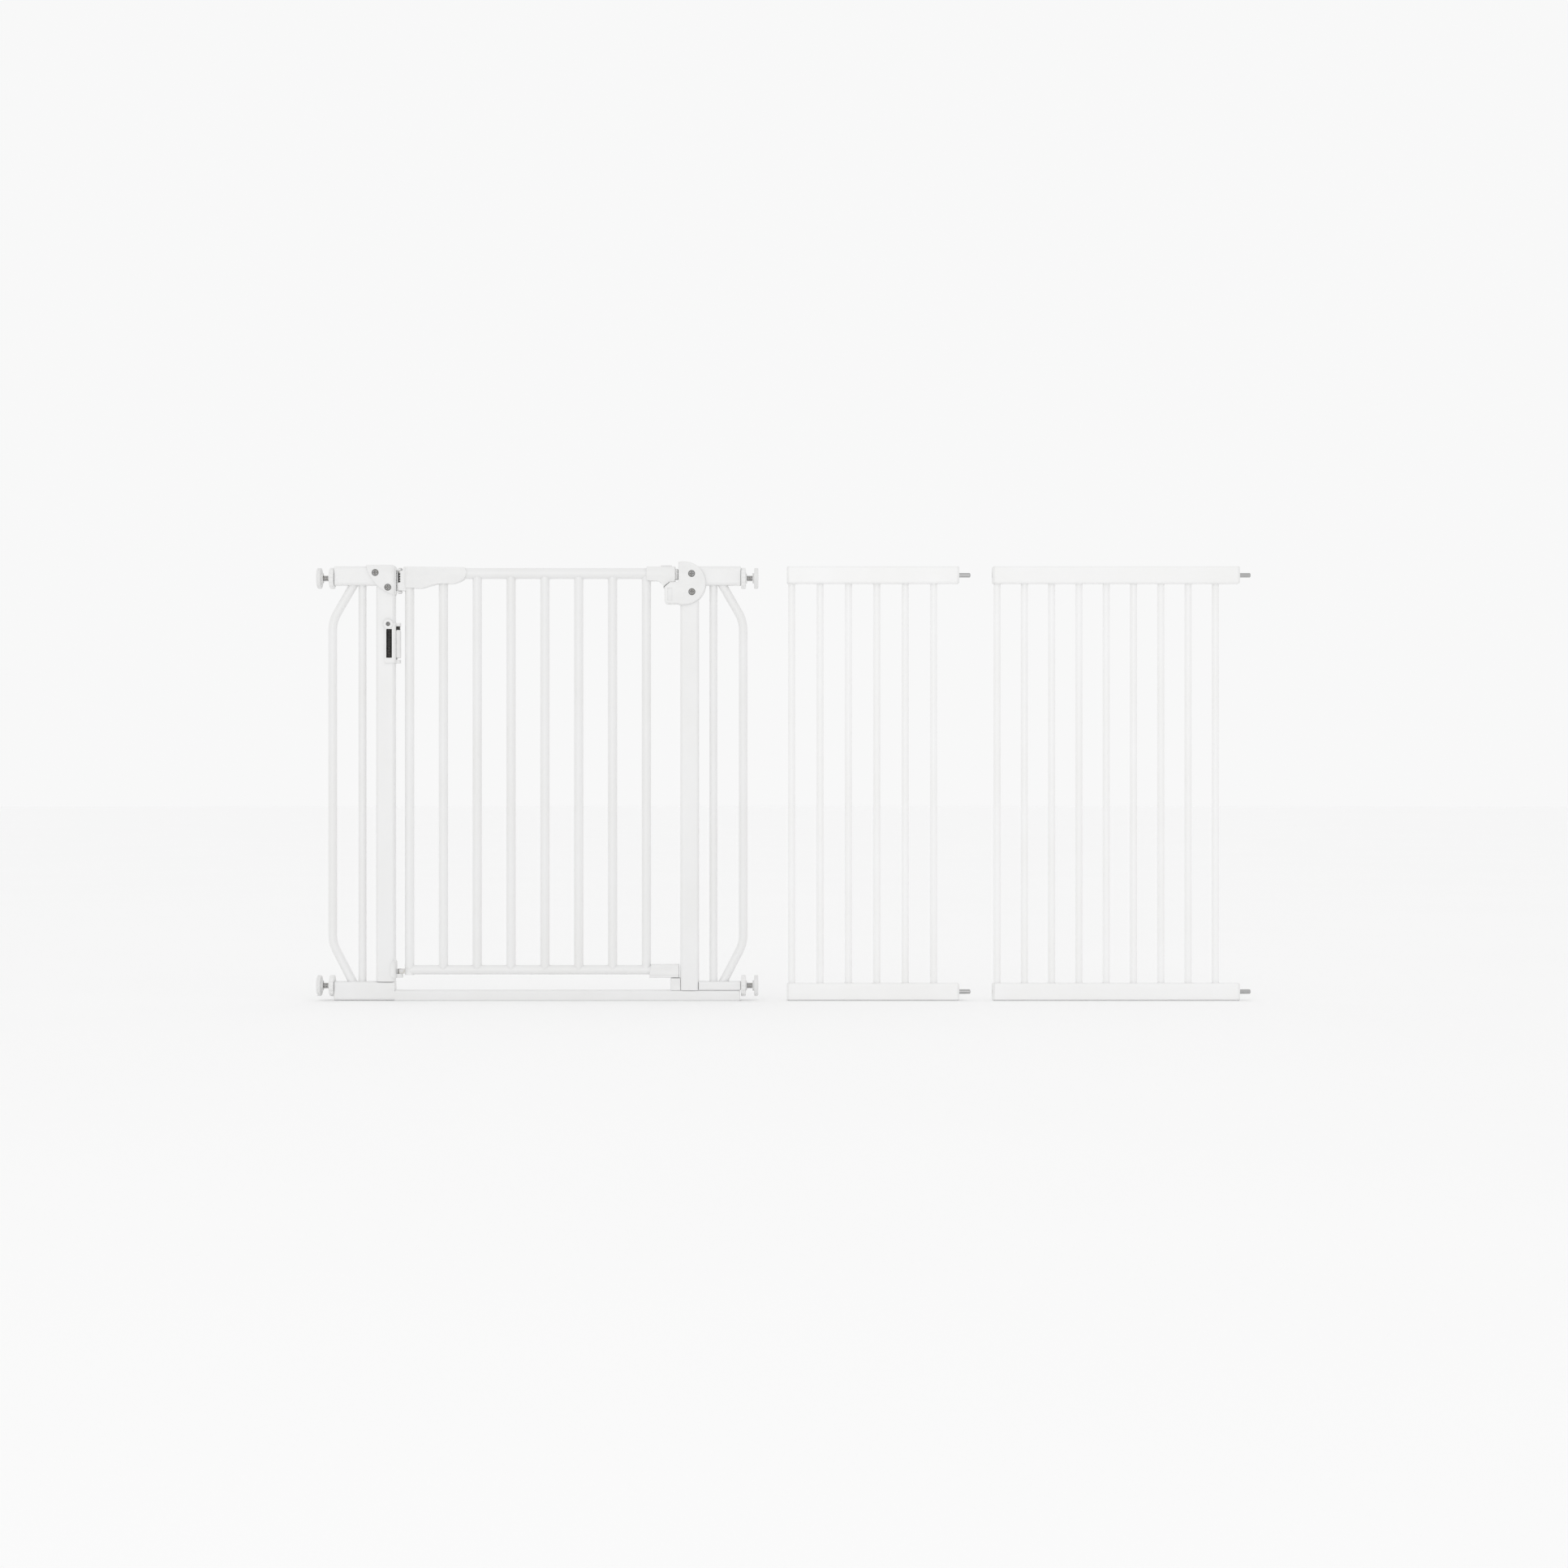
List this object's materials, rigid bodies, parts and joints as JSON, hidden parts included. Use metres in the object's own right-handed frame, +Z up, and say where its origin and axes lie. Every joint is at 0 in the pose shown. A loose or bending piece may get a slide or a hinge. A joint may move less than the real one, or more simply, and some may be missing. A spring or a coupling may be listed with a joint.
{
  "type": "safety baby gate",
  "caption": "White pressure-fit safety gate with a self-closing swing door, sprung latch, screw spindles with wall pads, and two barred extension panels.",
  "frame": {"origin": "on the floor, at the middle of the row's footprint", "axes": "+X along the row from the hinge side of the gate to the panels, +Z up, front faces -Y"},
  "size_m": [1.613, 0.0366, 0.758],
  "materials": {
    "powder_coat": "satin white powder coat, fine orange peel",
    "panel_coat": "satin white powder coat",
    "white_plastic": "fine-grained moulded plastic",
    "pad_plastic": "soft moulded pad",
    "zinc_steel": "zinc plated",
    "screw_steel": "plated, with a darker cross recess",
    "bright_steel": "polished",
    "spring_steel": "black oxide"
  },
  "bodies": {
    "gate_frame": {"threshold_rail": "powder_coat", "left_foot_rail": "powder_coat", "right_foot_rail": "powder_coat", "hinge_post": "powder_coat", "latch_post": "powder_coat", "top_arms": "powder_coat", "left_side_hoop": "powder_coat", "right_side_hoop": "powder_coat", "side_bars": "powder_coat", "spindle_bushings": "white_plastic", "hinge_cap_front": "white_plastic", "hinge_cap_back": "white_plastic", "upper_hinge_bracket": "powder_coat", "hinge_pins": "zinc_steel", "hinge_torsion_spring": "spring_steel", "lower_hinge_bracket": "white_plastic", "closer_bracket": "white_plastic", "closer_spring": "spring_steel", "latch_housing_front": "white_plastic", "latch_housing_back": "white_plastic", "latch_strike_plate": "zinc_steel", "bottom_catch": "white_plastic", "cross_head_screws": "screw_steel"},
    "door": {"door_top_rail": "powder_coat", "door_bottom_rail": "powder_coat", "door_hinge_stile": "powder_coat", "door_bars": "powder_coat", "door_hinge_eyes": "zinc_steel", "hinge_sleeve_front": "white_plastic", "hinge_sleeve_back": "white_plastic", "handle_front": "white_plastic", "handle_back": "white_plastic", "door_shell_screws": "zinc_steel", "door_end_cap": "white_plastic", "bolt_spring": "zinc_steel"},
    "latch": {"thumb_slider": "white_plastic", "latch_bolt": "white_plastic"},
    "hold_open": {"hold_open_barrel": "white_plastic"},
    "wheel_top_left": {"hand_wheel_top_left": "white_plastic"},
    "spindle_top_left": {"spindle_top_left": "zinc_steel", "wall_pad_top_left": "pad_plastic"},
    "wheel_top_right": {"hand_wheel_top_right": "white_plastic"},
    "spindle_top_right": {"spindle_top_right": "zinc_steel", "wall_pad_top_right": "pad_plastic"},
    "wheel_bottom_left": {"hand_wheel_bottom_left": "white_plastic"},
    "spindle_bottom_left": {"spindle_bottom_left": "zinc_steel", "wall_pad_bottom_left": "pad_plastic"},
    "wheel_bottom_right": {"hand_wheel_bottom_right": "white_plastic"},
    "spindle_bottom_right": {"spindle_bottom_right": "zinc_steel", "wall_pad_bottom_right": "pad_plastic"},
    "panel_a": {"panel_a_top_rail": "panel_coat", "panel_a_bottom_rail": "panel_coat", "panel_a_bars": "panel_coat", "panel_a_end_caps": "white_plastic", "panel_a_pins": "bright_steel"},
    "panel_b": {"panel_b_top_rail": "panel_coat", "panel_b_bottom_rail": "panel_coat", "panel_b_bars": "panel_coat", "panel_b_end_caps": "white_plastic", "panel_b_pins": "bright_steel"}
  },
  "joints": [
    {"name": "door_swing", "type": "hinge", "parent": "gate_frame", "child": "door", "pos_m": [-0.664, 0, 0.7], "axis": [0, 0, 1], "range_deg": [-90, 90], "stiffness_Nm_per_rad": 0.6},
    {"name": "latch_pull", "type": "slide", "parent": "door", "child": "latch", "axis": [-1, 0, 0], "range_m": [0, 0.006], "stiffness_N_per_m": 300, "springref_m": -0.004},
    {"name": "hold_open_press", "type": "slide", "parent": "gate_frame", "child": "hold_open", "axis": [-1, 0, 0], "range_m": [0, 0.0025], "stiffness_N_per_m": 300, "springref_m": -0.003},
    {"name": "wheel_top_left_turn", "type": "hinge", "parent": "gate_frame", "child": "wheel_top_left", "pos_m": [-0.7815, 0, 0.7295], "axis": [1, 0, 0], "range_deg": [-1441, 3961]},
    {"name": "spindle_top_left_extend", "type": "slide", "parent": "gate_frame", "child": "spindle_top_left", "axis": [-1, 0, 0], "range_m": [-0.008, 0.022]},
    {"name": "wheel_top_right_turn", "type": "hinge", "parent": "gate_frame", "child": "wheel_top_right", "pos_m": [-0.0695, 0, 0.7295], "axis": [-1, 0, 0], "range_deg": [-1441, 3961]},
    {"name": "spindle_top_right_extend", "type": "slide", "parent": "gate_frame", "child": "spindle_top_right", "axis": [1, 0, 0], "range_m": [-0.008, 0.022]},
    {"name": "wheel_bottom_left_turn", "type": "hinge", "parent": "gate_frame", "child": "wheel_bottom_left", "pos_m": [-0.7815, 0, 0.0255], "axis": [1, 0, 0], "range_deg": [-1441, 3961]},
    {"name": "spindle_bottom_left_extend", "type": "slide", "parent": "gate_frame", "child": "spindle_bottom_left", "axis": [-1, 0, 0], "range_m": [-0.008, 0.022]},
    {"name": "wheel_bottom_right_turn", "type": "hinge", "parent": "gate_frame", "child": "wheel_bottom_right", "pos_m": [-0.0695, 0, 0.0255], "axis": [-1, 0, 0], "range_deg": [-1441, 3961]},
    {"name": "spindle_bottom_right_extend", "type": "slide", "parent": "gate_frame", "child": "spindle_bottom_right", "axis": [1, 0, 0], "range_m": [-0.008, 0.022]},
    {"name": "panel_a_slide", "type": "slide", "parent": "gate_frame", "child": "panel_a", "axis": [-1, 0, 0], "range_m": [0, 0.025]},
    {"name": "panel_b_slide", "type": "slide", "parent": "panel_a", "child": "panel_b", "axis": [-1, 0, 0], "range_m": [0, 0.0572]}
  ],
  "couplings": [
    {"joint": "wheel_top_left_turn", "follows": "spindle_top_left_extend", "rad_per_m": 3141.6},
    {"joint": "wheel_top_right_turn", "follows": "spindle_top_right_extend", "rad_per_m": 3141.6},
    {"joint": "wheel_bottom_left_turn", "follows": "spindle_bottom_left_extend", "rad_per_m": 3141.6},
    {"joint": "wheel_bottom_right_turn", "follows": "spindle_bottom_right_extend", "rad_per_m": 3141.6}
  ]
}
